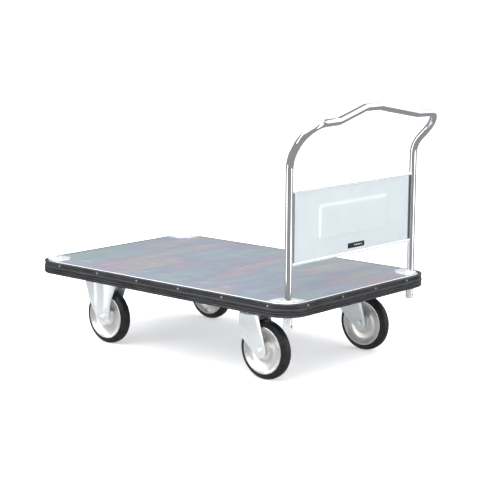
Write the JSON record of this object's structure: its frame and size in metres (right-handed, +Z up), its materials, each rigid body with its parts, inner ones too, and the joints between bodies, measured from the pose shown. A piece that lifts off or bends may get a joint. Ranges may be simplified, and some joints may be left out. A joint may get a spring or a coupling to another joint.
{
  "type": "platform cart",
  "caption": "Steel platform cart: ribbed deck with a rubber bumper, lift-out tube handle with a steel panel, two fixed casters and two swivel casters.",
  "frame": {"origin": "Centre of the cart's overall box in plan, on the floor.", "axes": "+X along the deck towards the handle, +Y to the right of someone who stands at the handle and faces the deck, +Z up."},
  "size_m": [1.2679, 0.7906, 0.9085],
  "materials": {
    "deck": "bluish zinc plate with a faint iridescence",
    "zinc": "bright zinc plate",
    "frame": "satin black paint",
    "chrome": "polished chrome plate",
    "panel": "smooth silver grey paint",
    "label": "black foil label with a white border",
    "bumper": "satin black extruded rubber",
    "tyre": "black solid rubber",
    "rim": "bright pressed steel",
    "bearing": "ground bearing steel"
  },
  "bodies": {
    "chassis": {"deck_plate": "deck", "bumper": "bumper", "rail_left": "frame", "rail_right": "frame", "cross_member_front": "frame", "cross_member_middle": "frame", "cross_member_rear": "frame", "corner_plate_front_left": "zinc", "corner_plate_front_right": "zinc", "corner_plate_rear_left": "zinc", "corner_plate_rear_right": "zinc", "post_socket_left": "zinc", "post_socket_right": "zinc", "top_plate_swivel_left": "zinc", "top_plate_swivel_right": "zinc", "bearing_cup_swivel_left": "zinc", "bearing_cup_swivel_right": "zinc", "kingpin_swivel_left": "zinc", "kingpin_swivel_right": "zinc", "fork_fixed_left": "zinc", "fork_fixed_right": "zinc", "axle_bolt_fixed_left": "zinc", "axle_bolt_fixed_right": "zinc", "axle_nut_fixed_left": "zinc", "axle_nut_fixed_right": "zinc", "axle_bush_fixed_left": "bearing", "axle_bush_fixed_right": "bearing"},
    "handle": {"handle_tube": "chrome", "handle_panel": "panel", "panel_label": "label"},
    "swivel_left": {"fork_swivel_left": "zinc", "ball_race_swivel_left": "bearing", "axle_bolt_swivel_left": "zinc", "axle_nut_swivel_left": "zinc", "axle_bush_swivel_left": "bearing"},
    "swivel_right": {"fork_swivel_right": "zinc", "ball_race_swivel_right": "bearing", "axle_bolt_swivel_right": "zinc", "axle_nut_swivel_right": "zinc", "axle_bush_swivel_right": "bearing"},
    "wheel_swivel_left": {"tyre_swivel_left": "tyre", "rim_swivel_left": "rim", "wheel_bearing_swivel_left": "bearing"},
    "wheel_swivel_right": {"tyre_swivel_right": "tyre", "rim_swivel_right": "rim", "wheel_bearing_swivel_right": "bearing"},
    "wheel_fixed_left": {"tyre_fixed_left": "tyre", "rim_fixed_left": "rim", "wheel_bearing_fixed_left": "bearing"},
    "wheel_fixed_right": {"tyre_fixed_right": "tyre", "rim_fixed_right": "rim", "wheel_bearing_fixed_right": "bearing"}
  },
  "joints": [
    {"name": "handle_lift", "type": "slide", "parent": "chassis", "child": "handle", "axis": [0, 0, 1], "range_m": [0, 0.12]},
    {"name": "swivel_left_turn", "type": "hinge", "parent": "chassis", "child": "swivel_left", "pos_m": [0.3238, -0.273, 0.2145], "axis": [0, 0, 1], "continuous": true},
    {"name": "swivel_right_turn", "type": "hinge", "parent": "chassis", "child": "swivel_right", "pos_m": [0.3238, 0.273, 0.2145], "axis": [0, 0, 1], "continuous": true},
    {"name": "wheel_swivel_left_spin", "type": "hinge", "parent": "swivel_left", "child": "wheel_swivel_left", "pos_m": [0.3798, -0.273, 0.1], "axis": [0, 1, 0], "continuous": true},
    {"name": "wheel_swivel_right_spin", "type": "hinge", "parent": "swivel_right", "child": "wheel_swivel_right", "pos_m": [0.3798, 0.273, 0.1], "axis": [0, 1, 0], "continuous": true},
    {"name": "wheel_fixed_left_spin", "type": "hinge", "parent": "chassis", "child": "wheel_fixed_left", "pos_m": [-0.3687, -0.273, 0.1], "axis": [0, 1, 0], "continuous": true},
    {"name": "wheel_fixed_right_spin", "type": "hinge", "parent": "chassis", "child": "wheel_fixed_right", "pos_m": [-0.3687, 0.273, 0.1], "axis": [0, 1, 0], "continuous": true}
  ]
}
